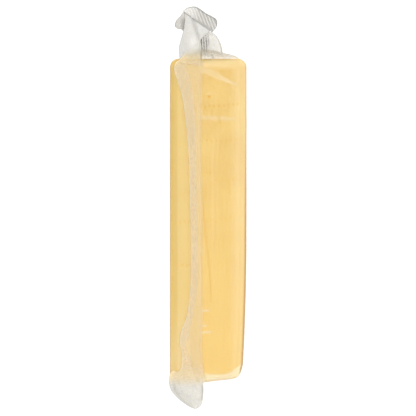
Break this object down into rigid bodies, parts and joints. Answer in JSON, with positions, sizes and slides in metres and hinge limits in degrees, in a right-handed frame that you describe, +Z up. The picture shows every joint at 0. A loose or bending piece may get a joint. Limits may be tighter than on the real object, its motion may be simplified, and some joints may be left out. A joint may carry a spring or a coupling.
{
  "type": "cheese wedge",
  "caption": "Slim wedge of pale yellow hard cheese sealed in clear shrink film, with a long welded fin folded flat on one cut face and crumpled welded ears at the heel and the point",
  "frame": {"origin": "on the underside of the film, on the wedge's mid-plane, half way from the cut point to the heel", "axes": "+Y runs from the point of the wedge to its heel, +Z is up from the surface it rests on, +X runs across from one flat face of the wheel to the other, away from the side the fin is folded to"},
  "size_m": [0.0386, 0.1861, 0.0728],
  "materials": {
    "cheese": "cut face of pale yellow hard cheese, moist satin sheen",
    "film": "clear shrink film, glossy, milky where it is welded"
  },
  "bodies": {
    "root": {"cheese": "cheese", "film_wrap": "film"}
  },
  "joints": []
}
